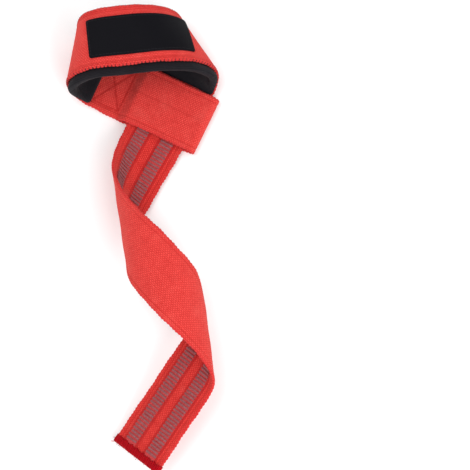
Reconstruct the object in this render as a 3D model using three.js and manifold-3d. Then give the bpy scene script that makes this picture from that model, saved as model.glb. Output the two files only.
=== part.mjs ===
// A padded wrist strap for weightlifting, lying loose on a flat surface. One length of flat cotton
// webbing is folded back and sewn at one end to make a sleeve. The strap rises from the sleeve into a
// padded loop for the wrist, comes down again, passes through the sleeve between its two layers, and
// ends in a long tail that turns over twice. Millimetres and degrees, +Z up.
//
// The webbing is a ribbon that only bends about straight lines across it, so each stretch keeps the
// width and the length that it has when the strap is laid out flat. A point of the ribbon is given by
// its distance along the strap, its distance across it and its height over the middle of the webbing.
// Its outer face carries the label, and its inner face carries the pad and the grip stripes.
import * as THREE from "three";
import Module from "manifold-3d";

const wasm = await Module();
wasm.setup();

// Driving dimensions
const STRAP_WIDTH = 38;
const STRAP_THICKNESS = 2;
const PIECE_GAP = 0.3;
const SLEEVE_SLACK = 2;
const SLEEVE_SIDE_PLAY = 0.6;
const SEWN_LENGTH = 13;
const SEWN_SQUEEZE = 0.2;
const STEP_RADIUS = 3;
const STEP_SLOPE = 45;
const WEB_HEADING = 154.5;
const LEFT_BEND_RADIUS = 18.5;
const LEFT_ENTRY_RADIUS = 27;
const LEFT_CROWN_SHARE = 0.61;
const RIGHT_EXIT_RADIUS = 10.3;
const MOUTH_OVERLAP = 5.5;
const TWIST_LEAD = 3.5;
const FIRST_TWIST_RADIUS = 21.5;
const FIRST_ENTRY_RADIUS = 48;
const BETWEEN_TWISTS = 1;
const SECOND_ENTRY_RADIUS = 22.3;
const TAIL_END_LENGTH = 68.7;
const PAD_END_WIDTH = 37.4;
const PAD_NEAR_SWELL = 3.6;
const PAD_SWELL_RUN = 30;
const PAD_THICKNESS = 5.5;
const PAD_START = 4;
const PAD_MOUTH_CLEARANCE = 1.2;
const PAD_TAPER_RUN = 10;
const PAD_TAPERED_SHARE = 0.36;
const PAD_CORNER = 3;
const PAD_RIM_THICKNESS = 4;
const LABEL_WIDTH = 25;
const LABEL_LENGTH = 66;
const LABEL_THICKNESS = 0.8;
const LABEL_CORNER = 1.5;
const LABEL_SHIFT = 12;
const STRIPE_WIDTH = 8;
const STRIPE_SPACING = 16.7;
const STRIPE_THICKNESS = 0.6;
const STRIPE_START = 4;
const HEM_LENGTH = 4.5;
const HEM_WALL = 0.8;

// Slant of the bend lines, from square across the strap, in each group of bends
const LEFT_SLANT = 16;
const RIGHT_SLANT = -27;
const FIRST_TWIST_SLANT = -52.5;
const SECOND_ENTRY_SLANT = -54;
const SECOND_TWIST_SLANT = -38;

// The flat run between bends of two slants, as a ratio of the least run that keeps their bend lines
// from crossing within the strap's width
const BEND_LINE_RATIO = 1.19;

// Fineness of the faceted solids
const FACET_ANGLE = 9;
const COVER_STEP = 3.2;

const radians = THREE.MathUtils.degToRad;
const halfWidth = STRAP_WIDTH / 2;
const halfThickness = STRAP_THICKNESS / 2;
const layerRise = STRAP_THICKNESS + PIECE_GAP;

// Heights of the middle of the webbing in the sleeve: the layer on the floor, the tail that passes
// through, the layer over it, and that layer where it is sewn down
const floorHeight = halfThickness;
const tailHeight = floorHeight + layerRise;
const webHeight = tailHeight + layerRise + SLEEVE_SLACK;
const sewnHeight = floorHeight + STRAP_THICKNESS - SEWN_SQUEEZE;
const foldRadius = (webHeight - floorHeight) / 2;

// Where the tail crosses the sleeve. Each group of bends in the loop turns the strap right over, so
// the slants alone set the heading of the tail, and the crossing angle sets how long the sleeve is.
const crossing = radians(2 * (LEFT_SLANT - RIGHT_SLANT));
const crossingReach = halfWidth / Math.sin(crossing) + halfWidth / Math.abs(Math.tan(crossing));
const sleeveLength = 2 * (crossingReach + SLEEVE_SIDE_PLAY);
const crossingRun = halfWidth * Math.tan(radians(-RIGHT_SLANT)) - MOUTH_OVERLAP + crossingReach;
const twistRun = crossingRun + halfWidth / Math.sin(crossing) + TWIST_LEAD;

// The short slope that brings the upper layer down from the sleeve to where it is sewn
const stepSlope = radians(STEP_SLOPE);
const stepDrop = webHeight - sewnHeight;
const stepRun = (stepDrop - 2 * STEP_RADIUS * (1 - Math.cos(stepSlope))) / Math.sin(stepSlope);
const stepReach = 2 * STEP_RADIUS * Math.sin(stepSlope) + stepRun * Math.cos(stepSlope);
const foldedBackLength = sleeveLength + stepReach + SEWN_LENGTH;

// The flat stretch that lies between bends of two slants, so that their bend lines don't cross
const slantChange = Math.abs(Math.tan(radians(LEFT_SLANT)) - Math.tan(radians(RIGHT_SLANT)));
const bandRun = BEND_LINE_RATIO * halfWidth * slantChange;

// The folds of the strap, in order. A row without a turn is a flat stretch of the given length. A turn
// rolls the strap about the given radius, with the inner face inside where it is positive. The slant
// is that of the bend lines where the stretch ends.
const loopFolds = ({ webLength, crownRadius, rightRadius }) => [
  { name: "folded_back_layer", length: foldedBackLength, slant: 0 },
  { name: "sleeve_fold", turn: -180, radius: foldRadius, slant: 0 },
  { name: "sleeve_top", length: sleeveLength, slant: 0 },
  { name: "step_over", turn: -STEP_SLOPE, radius: STEP_RADIUS, slant: 0 },
  { name: "step_slope", length: stepRun, slant: 0 },
  { name: "step_foot", turn: STEP_SLOPE, radius: STEP_RADIUS, slant: 0 },
  { name: "sewn_web", length: webLength, slant: LEFT_SLANT },
  { name: "left_entry", turn: 25.5, radius: LEFT_ENTRY_RADIUS, slant: LEFT_SLANT },
  { name: "left_bend", turn: 126, radius: LEFT_BEND_RADIUS, slant: LEFT_SLANT },
  { name: "left_crown", turn: 28.5, radius: LEFT_CROWN_SHARE * crownRadius, slant: LEFT_SLANT },
  { name: "band", length: bandRun, slant: RIGHT_SLANT },
  { name: "right_crown", turn: 53.5, radius: crownRadius, slant: RIGHT_SLANT },
  { name: "right_bend", turn: 112, radius: rightRadius, slant: RIGHT_SLANT },
  { name: "right_exit", turn: 14.5, radius: RIGHT_EXIT_RADIUS, slant: RIGHT_SLANT },
];
const tailFolds = ({ landingRadius }) => [
  { name: "sleeve_run", length: twistRun, slant: FIRST_TWIST_SLANT },
  { name: "first_entry", turn: 10.5, radius: FIRST_ENTRY_RADIUS, slant: FIRST_TWIST_SLANT },
  { name: "first_twist", turn: 169.5, radius: FIRST_TWIST_RADIUS, slant: FIRST_TWIST_SLANT },
  { name: "between_twists", length: BETWEEN_TWISTS, slant: FIRST_TWIST_SLANT },
  { name: "second_entry", turn: 45, radius: SECOND_ENTRY_RADIUS, slant: SECOND_ENTRY_SLANT },
  { name: "second_twist", turn: 108, radius: landingRadius, slant: SECOND_TWIST_SLANT },
  { name: "tail_end", length: TAIL_END_LENGTH, slant: 0 },
];

// The strap starts at its cut end, with its outer face up, and runs back towards the sleeve's fold
const up = new THREE.Vector3(0, 0, 1);
const webDirection = new THREE.Vector3(1, 0, 0).applyAxisAngle(up, radians(WEB_HEADING));
const cutEnd = {
  along: 0,
  slant: 0,
  position: webDirection.clone().multiplyScalar(foldedBackLength).setZ(floorHeight),
  forward: webDirection.clone().negate(),
  outward: up.clone(),
};

const acrossOf = ({ outward, forward }) => new THREE.Vector3().crossVectors(outward, forward);

// Follows a table of folds from a starting place. It returns the stations, which are the bend lines
// and the ends of the flat stretches, how far along the strap each stretch ends, and the last place.
// A station has the strap's middle point, the edge, which leads to a point one millimetre further
// across on the bend line, and the lift, which leads to a layer one millimetre further out.
function follow(folds, start) {
  const position = start.position.clone();
  const forward = start.forward.clone();
  const outward = start.outward.clone();
  const stations = [];
  const ends = {};
  let { along, slant } = start;
  const advance = (length) => {
    position.addScaledVector(forward, length);
    along += length;
  };
  const mark = (skew, halfTurn) => {
    const edge = acrossOf({ outward, forward }).addScaledVector(forward, skew);
    const bendLine = edge.clone().normalize();
    outward.applyAxisAngle(bendLine, halfTurn);
    const lift = outward.clone().divideScalar(Math.cos(halfTurn));
    outward.applyAxisAngle(bendLine, halfTurn);
    forward.applyAxisAngle(bendLine, 2 * halfTurn);
    stations.push({ along, skew, position: position.clone(), edge, lift });
  };
  for (const { name, length, turn, radius, slant: endSlant } of folds) {
    if (turn === undefined) {
      advance(length);
      mark(Math.tan(radians(endSlant)), 0);
    } else {
      const steps = Math.ceil(Math.abs(turn) / FACET_ANGLE);
      const stepTurn = radians(turn) / steps;
      for (let step = 0; step < steps; step += 1) {
        const bendSlant = radians(THREE.MathUtils.lerp(slant, endSlant, (step + 0.5) / steps));
        const stepLength = (radius * Math.abs(stepTurn)) / Math.cos(bendSlant);
        advance(stepLength / 2);
        mark(Math.tan(bendSlant), stepTurn / 2);
        advance(stepLength / 2);
      }
    }
    slant = endSlant;
    ends[name] = along;
  }
  return { stations, ends, along, slant, position, forward, outward };
}

// The end of a folded strap moves in proportion to each length and radius in its table, so one trial
// for each unknown size gives the three sizes that bring the tail to the middle of the sleeve.
function closeLoop() {
  const reach = (webLength, crownRadius, rightRadius) => {
    const end = follow(loopFolds({ webLength, crownRadius, rightRadius }), cutEnd);
    return end.position.addScaledVector(end.forward, crossingRun);
  };
  const base = reach(0, 0, 0);
  const web = reach(1, 0, 0).sub(base);
  const crown = reach(0, 1, 0).sub(base);
  const right = reach(0, 0, 1).sub(base);
  const sleeveMiddle = webDirection.clone().multiplyScalar(sleeveLength / 2).setZ(tailHeight);
  const toSizes = new THREE.Matrix3()
    .set(web.x, crown.x, right.x, web.y, crown.y, right.y, web.z, crown.z, right.z)
    .invert();
  const sizes = sleeveMiddle.sub(base).applyMatrix3(toSizes);
  return { webLength: sizes.x, crownRadius: sizes.y, rightRadius: sizes.z };
}

// In the same way, the radius of the second twist brings the lowest corner of the hem to the floor
const hemHalfWidth = halfWidth + PIECE_GAP;
const hemHalfThickness = halfThickness + PIECE_GAP + HEM_WALL;
const hemOverhang = PIECE_GAP + HEM_WALL;
function landTail(loopEnd) {
  const cornerHeight = (landingRadius) => {
    const end = follow(tailFolds({ landingRadius }), loopEnd);
    return end.position
      .addScaledVector(end.forward, hemOverhang)
      .addScaledVector(acrossOf(end), hemHalfWidth)
      .addScaledVector(end.outward, hemHalfThickness).z;
  };
  const base = cornerHeight(0);
  return { landingRadius: base / (base - cornerHeight(1)) };
}

const loop = follow(loopFolds(closeLoop()), cutEnd);
const tail = follow(tailFolds(landTail(loop)), loop);
const stretchEnds = { ...loop.ends, ...tail.ends };
const sleeveMouth = stretchEnds.right_exit + crossingRun - crossingReach;
const firstStation = {
  along: 0,
  skew: 0,
  position: cutEnd.position,
  edge: acrossOf(cutEnd),
  lift: cutEnd.outward,
};
const stations = [firstStation, ...loop.stations, ...tail.stations];

// The point of the strap at a distance along it, a distance across it and a height over its middle
function strapPoint(along, side, height) {
  const after = stations.findIndex((station) => station.along + station.skew * side > along);
  const last = after < 0 ? stations.length - 1 : Math.max(after, 1);
  const [from, to] = [stations[last - 1], stations[last]];
  const start = from.along + from.skew * side;
  const share = (along - start) / (to.along + to.skew * side - start);
  const point = from.position.clone().addScaledVector(from.edge, side);
  point.lerp(to.position.clone().addScaledVector(to.edge, side), share);
  return point.addScaledVector(from.lift.clone().lerp(to.lift, share), height);
}

// A closed solid from rows of points: each row has as many points in its low face as in its high face,
// from the strap's right edge to its left one, and the high face is the one further out.
function solidFromRows(rows) {
  const columns = rows[0].low.length;
  const positions = [];
  rows.forEach(({ low, high }) => [...low, ...high].forEach((point) => positions.push(...point.toArray())));
  const low = (row, column) => row * 2 * columns + column;
  const high = (row, column) => low(row, column) + columns;
  const triangles = [];
  const face = (a, b, c, d) => triangles.push(a, b, c, a, c, d);
  const lastRow = rows.length - 1;
  const lastColumn = columns - 1;
  for (let row = 0; row < lastRow; row += 1) {
    for (let column = 0; column < lastColumn; column += 1) {
      face(high(row, column), high(row + 1, column), high(row + 1, column + 1), high(row, column + 1));
      face(low(row, column), low(row, column + 1), low(row + 1, column + 1), low(row + 1, column));
    }
    face(low(row, 0), low(row + 1, 0), high(row + 1, 0), high(row, 0));
    face(low(row, lastColumn), high(row, lastColumn), high(row + 1, lastColumn), low(row + 1, lastColumn));
  }
  for (let column = 0; column < lastColumn; column += 1) {
    face(low(0, column), high(0, column), high(0, column + 1), low(0, column + 1));
    face(low(lastRow, column), low(lastRow, column + 1), high(lastRow, column + 1), high(lastRow, column));
  }
  const vertProperties = new Float32Array(positions);
  const triVerts = new Uint32Array(triangles);
  return new wasm.Manifold(new wasm.Mesh({ numProp: 3, vertProperties, triVerts }));
}

const evenly = (from, to, step) => {
  const count = Math.max(1, Math.ceil((to - from) / step));
  return Array.from({ length: count + 1 }, (_, index) => THREE.MathUtils.lerp(from, to, index / count));
};

// A flat piece that follows the strap's surface, such as the pad or the label, with round corners. It
// lies between two heights, and near its border its outer face may be at another height. Its near edge,
// the right one, may swell out between its ends, and it may get thinner towards its far end.
function cover({ from, to, width, middle = 0, corner = 0, swell, taper, inner, outer, rim = outer }) {
  const arc = corner > 0 ? [0, 30, 60].map(radians) : [];
  const ends = arc.map((angle) => ({
    inset: corner * (1 - Math.cos(angle)),
    half: width / 2 - corner * (1 - Math.sin(angle)),
  }));
  const outline = [
    ...ends.map(({ inset, half }) => ({ along: from + inset, half })),
    ...evenly(from + corner, to - corner, COVER_STEP).map((along) => ({ along, half: width / 2 })),
    ...ends.reverse().map(({ inset, half }) => ({ along: to - inset, half })),
  ];
  const shares = evenly(-1, 1, (2 * COVER_STEP) / width);
  const rows = outline.map(({ along, half }, row) => {
    const onEnd = row === 0 || row === outline.length - 1;
    const fromEnd = Math.min(along - from, to - along);
    const nearHalf = swell ? half + swell.reach * THREE.MathUtils.smoothstep(fromEnd, 0, swell.run) : half;
    const thinning = taper ? THREE.MathUtils.smoothstep(to - along, 0, taper.run) : 1;
    const fullness = taper ? THREE.MathUtils.lerp(taper.share, 1, thinning) : 1;
    const sideOf = (share) => middle + share * (share < 0 ? nearHalf : half);
    const against = shares.map((share) => strapPoint(along, sideOf(share), inner));
    const away = shares.map((share) => {
      const height = onEnd || Math.abs(share) === 1 ? rim : outer;
      return strapPoint(along, sideOf(share), inner + (height - inner) * fullness);
    });
    return outer > inner ? { low: against, high: away } : { low: away, high: against };
  });
  return solidFromRows(rows);
}

function namedMesh(name, solid, material) {
  const { numProp, vertProperties, triVerts } = solid.getMesh();
  const geometry = new THREE.BufferGeometry();
  geometry.setAttribute("position", new THREE.BufferAttribute(new Float32Array(vertProperties), numProp));
  geometry.setIndex(new THREE.BufferAttribute(new Uint32Array(triVerts), 1));
  const flat = geometry.toNonIndexed();
  flat.computeVertexNormals();
  const mesh = new THREE.Mesh(flat, material);
  mesh.name = name;
  return mesh;
}

// The webbing, in two lengths that are joined at the end of the sleeve. The second one is sewn down on
// the folded-back layer of the first one, so the two become one solid there as well.
function webbing() {
  const edges = [-halfWidth, halfWidth];
  const rowAt = ({ position, edge, lift }) => {
    const face = (height) =>
      edges.map((side) => position.clone().addScaledVector(edge, side).addScaledVector(lift, height));
    return { low: face(-halfThickness), high: face(halfThickness) };
  };
  const joint = stations.findIndex((station) => station.along === stretchEnds.sleeve_top);
  const sleeve = solidFromRows(stations.slice(0, joint + 1).map(rowAt));
  const rest = solidFromRows(stations.slice(joint).map(rowAt));
  return sleeve.add(rest);
}

// The foam pad that is sewn inside the loop, from the web round both bends to the mouth of the sleeve.
// It shows past the near edge of the webbing, and it is thinner where it meets the sleeve.
function wristPad() {
  const inner = -halfThickness - PIECE_GAP;
  return cover({
    from: stretchEnds.sewn_web + PAD_START,
    to: sleeveMouth - PAD_MOUTH_CLEARANCE,
    width: PAD_END_WIDTH,
    corner: PAD_CORNER,
    swell: { reach: PAD_NEAR_SWELL, run: PAD_SWELL_RUN },
    taper: { share: PAD_TAPERED_SHARE, run: PAD_TAPER_RUN },
    inner,
    outer: inner - PAD_THICKNESS,
    rim: inner - PAD_RIM_THICKNESS,
  });
}

// The blank patch on the outside of the band, centred on the band's flat stretch
function labelPatch() {
  const middle = stretchEnds.band - bandRun / 2 + LABEL_SHIFT;
  const inner = halfThickness + PIECE_GAP;
  return cover({
    from: middle - LABEL_LENGTH / 2,
    to: middle + LABEL_LENGTH / 2,
    width: LABEL_WIDTH,
    corner: LABEL_CORNER,
    inner,
    outer: inner + LABEL_THICKNESS,
  });
}

// One of the two raised stripes of grip rubber on the inner face of the tail
function gripStripe(side) {
  const inner = -halfThickness - PIECE_GAP;
  return cover({
    from: sleeveMouth + STRIPE_START,
    to: stretchEnds.tail_end - HEM_LENGTH - PIECE_GAP,
    width: STRIPE_WIDTH,
    middle: side * (STRIPE_SPACING / 2),
    inner,
    outer: inner - STRIPE_THICKNESS,
  });
}

// The binding that is sewn round the tail's cut end, open towards the strap
function tailHem() {
  const end = stretchEnds.tail_end;
  const channel = { from: end - 2 * HEM_LENGTH, to: end + PIECE_GAP, width: 2 * STRAP_WIDTH };
  const shell = { from: end + hemOverhang - HEM_LENGTH, to: end + hemOverhang, width: 2 * hemHalfWidth };
  const outside = cover({ ...shell, inner: -hemHalfThickness, outer: hemHalfThickness });
  const inside = halfThickness + PIECE_GAP;
  return outside.subtract(cover({ ...channel, inner: -inside, outer: inside }));
}

const redCotton = new THREE.MeshStandardMaterial({ color: 0xd42f30, roughness: 0.9, metalness: 0 });
const blackFoam = new THREE.MeshStandardMaterial({ color: 0x22252b, roughness: 0.85, metalness: 0 });
const blackLabel = new THREE.MeshStandardMaterial({ color: 0x18181c, roughness: 0.6, metalness: 0 });
const greyRubber = new THREE.MeshStandardMaterial({ color: 0x8a7580, roughness: 0.5, metalness: 0 });
const darkRedThread = new THREE.MeshStandardMaterial({ color: 0xa81420, roughness: 0.9, metalness: 0 });

const strap = new THREE.Group();
strap.add(
  namedMesh("webbing_strap", webbing(), redCotton),
  namedMesh("wrist_pad", wristPad(), blackFoam),
  namedMesh("label_patch", labelPatch(), blackLabel),
  namedMesh("grip_stripe_left", gripStripe(1), greyRubber),
  namedMesh("grip_stripe_right", gripStripe(-1), greyRubber),
  namedMesh("tail_hem", tailHem(), darkRedThread),
);

// The middle of the strap's box goes over the origin, and its lowest point is on the floor
const box = new THREE.Box3().setFromObject(strap);
strap.position.set(-(box.min.x + box.max.x) / 2, -(box.min.y + box.max.y) / 2, -box.min.z);

export default strap;
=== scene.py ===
import math

import bpy
import numpy as np
from mathutils import Matrix, Vector


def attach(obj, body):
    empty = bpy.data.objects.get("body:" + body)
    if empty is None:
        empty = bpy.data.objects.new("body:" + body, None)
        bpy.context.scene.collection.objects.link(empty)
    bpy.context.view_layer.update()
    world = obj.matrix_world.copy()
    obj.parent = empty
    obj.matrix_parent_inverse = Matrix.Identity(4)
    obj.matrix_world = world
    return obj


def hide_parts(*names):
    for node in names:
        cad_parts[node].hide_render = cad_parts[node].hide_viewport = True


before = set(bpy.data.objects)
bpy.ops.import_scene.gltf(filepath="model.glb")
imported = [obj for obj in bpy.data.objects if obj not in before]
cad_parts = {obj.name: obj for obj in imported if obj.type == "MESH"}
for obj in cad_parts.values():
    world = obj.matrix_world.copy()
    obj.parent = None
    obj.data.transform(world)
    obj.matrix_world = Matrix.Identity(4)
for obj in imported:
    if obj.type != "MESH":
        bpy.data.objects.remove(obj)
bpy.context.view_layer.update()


# The webbing: one length of flat red cotton webbing, 38 mm wide and 2 mm thick. Its first end is
# folded back and sewn down to make a sleeve. The rest bends round the wrist, goes through the
# sleeve and ends in a tail that turns over twice, bending only about straight lines across it.
MM = 0.001  # the strap is measured in millimetres, and the scene in metres
STRAP_WIDTH = 38.0
STRAP_THICKNESS = 2.0
PIECE_GAP = 0.3
SLEEVE_SLACK = 2.0
SLEEVE_SIDE_PLAY = 0.6
SEWN_LENGTH = 13.0
SEWN_SQUEEZE = 0.2
STEP_RADIUS = 3.0
STEP_SLOPE = 45.0
WEB_HEADING = 154.5
MOUTH_OVERLAP = 5.5
LEFT_SLANT = 16.0
RIGHT_SLANT = -27.0
BEND_LINE_RATIO = 1.19
LEFT_CROWN_SHARE = 0.61
TWIST_LEAD = 3.5
TWIST_SLANT = -52.5
SECOND_TWIST_SLANT = -54.0
LANDING_SLANT = -38.0
TAIL_END_LENGTH = 68.7
HEM_OVERHANG = 1.1
HEM_BUILD = 1.1
SLEEVE_FOLD_AT = (35.3456, 75.1347, 0.0009)
FINE_TURN = 1.5

half_width = STRAP_WIDTH / 2
half_thickness = STRAP_THICKNESS / 2
floor_height = half_thickness
tail_height = floor_height + STRAP_THICKNESS + PIECE_GAP
web_height = tail_height + STRAP_THICKNESS + PIECE_GAP + SLEEVE_SLACK
sewn_height = floor_height + STRAP_THICKNESS - SEWN_SQUEEZE
crossing = math.radians(2 * (LEFT_SLANT - RIGHT_SLANT))
crossing_reach = half_width / math.sin(crossing) + half_width / abs(math.tan(crossing))
crossing_run = half_width * math.tan(math.radians(-RIGHT_SLANT)) - MOUTH_OVERLAP + crossing_reach
sleeve_length = 2 * (crossing_reach + SLEEVE_SIDE_PLAY)
step_slope = math.radians(STEP_SLOPE)
step_drop = web_height - sewn_height - 2 * STEP_RADIUS * (1 - math.cos(step_slope))
step_run = step_drop / math.sin(step_slope)
step_reach = 2 * STEP_RADIUS * math.sin(step_slope) + step_run * math.cos(step_slope)
folded_back = sleeve_length + step_reach + SEWN_LENGTH
slant_change = abs(math.tan(math.radians(LEFT_SLANT)) - math.tan(math.radians(RIGHT_SLANT)))
band_run = BEND_LINE_RATIO * half_width * slant_change


# Each fold: its name, its turn in degrees (None where flat), its radius or length in millimetres,
# and the slant of its last bend line in degrees
def loop_folds(web_length, crown_radius, right_radius):
    return [
        ("folded_back_layer", None, folded_back, 0),
        ("sleeve_fold", -180, (web_height - floor_height) / 2, 0),
        ("sleeve_top", None, sleeve_length, 0),
        ("step_over", -STEP_SLOPE, STEP_RADIUS, 0),
        ("step_slope", None, step_run, 0),
        ("step_foot", STEP_SLOPE, STEP_RADIUS, 0),
        ("sewn_web", None, web_length, LEFT_SLANT),
        ("left_entry", 25.5, 27, LEFT_SLANT),
        ("left_bend", 126, 18.5, LEFT_SLANT),
        ("left_crown", 28.5, LEFT_CROWN_SHARE * crown_radius, LEFT_SLANT),
        ("band", None, band_run, RIGHT_SLANT),
        ("right_crown", 53.5, crown_radius, RIGHT_SLANT),
        ("right_bend", 112, right_radius, RIGHT_SLANT),
        ("right_exit", 14.5, 10.3, RIGHT_SLANT),
    ]


def tail_folds(landing_radius):
    sleeve_run = crossing_run + half_width / math.sin(crossing) + TWIST_LEAD
    return [
        ("sleeve_run", None, sleeve_run, TWIST_SLANT),
        ("first_entry", 10.5, 48, TWIST_SLANT),
        ("first_twist", 169.5, 21.5, TWIST_SLANT),
        ("between_twists", None, 1, TWIST_SLANT),
        ("second_entry", 45, 22.3, SECOND_TWIST_SLANT),
        ("second_twist", 108, landing_radius, LANDING_SLANT),
        ("tail_end", None, TAIL_END_LENGTH, 0),
    ]


def turned(vector, axis, angle):
    return (vector * math.cos(angle) + np.cross(axis, vector) * math.sin(angle)
            + axis * (axis @ vector) * (1 - math.cos(angle)))


# Follows the folds from a start, and gives the bend lines, where each fold ends, and the last state
def fold(folds, start):
    along, slant, place, forward, outward = start
    bend_lines = []
    fold_ends = {}
    for name, turn, size, end_slant in folds:
        steps = 1 if turn is None else math.ceil(abs(turn) / FINE_TURN)
        for step in range(steps):
            if turn is None:
                line_slant, half_turn = end_slant, 0.0
                length = before = size
            else:
                line_slant = slant + (end_slant - slant) * (step + 0.5) / steps
                half_turn = math.radians(turn) / steps / 2
                length = size * abs(2 * half_turn) / math.cos(math.radians(line_slant))
                before = length / 2
            place = place + forward * before
            along += before
            skew = math.tan(math.radians(line_slant))
            edge = np.cross(outward, forward) + forward * skew
            line = edge / np.linalg.norm(edge)
            outward = turned(outward, line, half_turn)
            lift = outward / math.cos(half_turn)
            outward = turned(outward, line, half_turn)
            forward = turned(forward, line, 2 * half_turn)
            bend_lines.append((along, skew, place, edge, lift))
            place = place + forward * (length - before)
            along += length - before
        slant = end_slant
        fold_ends[name] = along
    return bend_lines, fold_ends, (along, slant, place, forward, outward)


web_angle = math.radians(WEB_HEADING)
heading = np.array([math.cos(web_angle), math.sin(web_angle), 0.0])
straight_up = np.array([0, 0, 1.0])
cut_place = heading * folded_back + np.array([0, 0, floor_height])
cut_end = (0.0, 0.0, cut_place, -heading, straight_up)


# Where the loop comes down beside the sleeve, for a web length and two radii
def reach_of(*sizes):
    _, _, (_, _, place, forward, _) = fold(loop_folds(*sizes), cut_end)
    return place + forward * crossing_run


at_rest = reach_of(0, 0, 0)
moves = np.array([reach_of(1, 0, 0), reach_of(0, 1, 0), reach_of(0, 0, 1)]) - at_rest
sleeve_middle = heading * sleeve_length / 2 + np.array([0, 0, tail_height])
loop_sizes = np.linalg.solve(moves.T, sleeve_middle - at_rest)
loop_lines, loop_ends, loop_end = fold(loop_folds(*loop_sizes), cut_end)


# How high the tail's near corner, with its hem, comes to lie for a landing radius
def corner_height(landing_radius):
    _, _, (_, _, place, forward, outward) = fold(tail_folds(landing_radius), loop_end)
    across = np.cross(outward, forward)
    corner = place + forward * HEM_OVERHANG + across * (half_width + PIECE_GAP)
    return (corner + outward * (half_thickness + HEM_BUILD))[2]


landing = corner_height(0) / (corner_height(0) - corner_height(1))
tail_lines, tail_ends, _ = fold(tail_folds(landing), loop_end)
ends = {**loop_ends, **tail_ends}
sleeve_mouth = ends["right_exit"] + crossing_run - crossing_reach
first_line = (0.0, 0.0, cut_place, np.cross(straight_up, -heading), straight_up)
lines = [first_line] + loop_lines + tail_lines
line_along = np.array([line[0] for line in lines])
line_skew = np.array([line[1] for line in lines])
line_place = np.array([line[2] for line in lines]) + np.array(SLEEVE_FOLD_AT)
line_edge = np.array([line[3] for line in lines])
line_lift = np.array([line[4] for line in lines])


def eased(value, low, high):
    share = np.clip((value - low) / (high - low), 0.0, 1.0)
    return share * share * (3 - 2 * share)


# 1 at a place across the strap, falling away on both sides of it
def dent(value, at, reach):
    return np.exp(-((value - at) / reach) ** 2)


# How far the worn cloth waves off its bends. It lies true where it is sewn, held or hemmed, and
# each pair here gives the places along the strap between which the waves come in or fade.
LOOP_WAVES_IN = (150, 175)
LOOP_WAVES_OUT = (272, 290)
TAIL_WAVES_IN = (352, 380)
TAIL_WAVES_LESS = (500, 530)
TAIL_WAVES_OUT = (560, 585)
WAVE_SHARE = 0.55


def ripple(along, side):
    on_loop = eased(along, *LOOP_WAVES_IN) * (1 - eased(along, *LOOP_WAVES_OUT))
    past_sleeve = eased(along, *TAIL_WAVES_IN) * (1 - 0.7 * eased(along, *TAIL_WAVES_LESS))
    free = on_loop + past_sleeve * (1 - eased(along, *TAIL_WAVES_OUT))
    wave = 0.26 * np.sin(along / 6.1 + 0.06 * side) + 0.2 * np.sin(along / 3.7 - 0.11 * side + 1.3)
    lip = (side / half_width) ** 2 * (0.3 * np.sin(along / 4.9 + 0.8 * np.sign(side)) + 0.1)
    return free * (wave * WAVE_SHARE + lip)


# Places given along, across and off the flat webbing, in millimetres, carried to the bent one
def on_strap(along, side, height):
    along, side, height = np.broadcast_arrays(along, side, height)
    shape = along.shape
    along, side, height = (np.asarray(each, float).ravel() for each in (along, side, height))
    height = height + ripple(along, side)
    placed = np.empty((along.size, 3))
    for value in np.unique(side):
        here = np.flatnonzero(side == value)
        starts = np.maximum.accumulate(line_along + line_skew * value)
        last = np.searchsorted(starts, along[here], side="right")
        last = np.clip(last, 1, len(starts) - 1)
        run = np.maximum(starts[last] - starts[last - 1], 1e-9)
        share = ((along[here] - starts[last - 1]) / run)[:, None]
        middle = line_place + line_edge * value
        base = middle[last - 1] * (1 - share) + middle[last] * share
        lift = line_lift[last - 1] * (1 - share) + line_lift[last] * share
        placed[here] = base + lift * height[here][:, None]
    return placed.reshape(*shape, 3) * MM


def make_piece(name, points, faces, flat_places):
    mesh = bpy.data.meshes.new(name)
    mesh.from_pydata(points.tolist(), [], faces)
    mesh.update()
    flat = np.asarray(flat_places, float) * MM
    corners = np.zeros(len(mesh.loops), np.int32)
    mesh.loops.foreach_get("vertex_index", corners)
    laid_flat = mesh.uv_layers.new(name="laid_flat")
    laid_flat.data.foreach_set("uv", flat[corners, :2].astype(np.float32).ravel())
    mesh.polygons.foreach_set("use_smooth", np.ones(len(mesh.polygons), bool))
    piece = bpy.data.objects.new(name, mesh)
    bpy.context.scene.collection.objects.link(piece)
    return piece


# A closed ribbon over a grid of places in its outer and inner face: rows run across the strap
def ribbon_faces(rows, columns):
    def outer(row, column):
        return row * 2 * columns + column

    def inner(row, column):
        return outer(row, column) + columns

    faces = []
    for row in range(rows - 1):
        for column in range(columns - 1):
            faces.append((outer(row, column), outer(row + 1, column),
                          outer(row + 1, column + 1), outer(row, column + 1)))
            faces.append((inner(row, column), inner(row, column + 1),
                          inner(row + 1, column + 1), inner(row + 1, column)))
        faces.append((inner(row, 0), inner(row + 1, 0), outer(row + 1, 0), outer(row, 0)))
        faces.append((outer(row, columns - 1), outer(row + 1, columns - 1),
                      inner(row + 1, columns - 1), inner(row, columns - 1)))
    for column in range(columns - 1):
        faces.append((inner(0, column), outer(0, column),
                      outer(0, column + 1), inner(0, column + 1)))
        faces.append((outer(rows - 1, column), inner(rows - 1, column),
                      inner(rows - 1, column + 1), outer(rows - 1, column + 1)))
    return faces


def ribbon(name, along, side, outer, inner):
    grid = np.stack([on_strap(along, side, outer), on_strap(along, side, inner)], axis=1)
    rows, _, columns, _ = grid.shape
    flat = np.stack([np.stack([side, along], axis=-1)] * 2, axis=1)
    faces = ribbon_faces(rows, columns)
    piece = make_piece(name, grid.reshape(-1, 3), faces, flat.reshape(-1, 2))
    shows = np.stack([np.ones_like(along), np.zeros_like(along)], axis=1)
    face = piece.data.attributes.new("outer_face", "FLOAT", "POINT")
    face.data.foreach_set("value", shows.ravel().astype(np.float32))
    return piece


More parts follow.
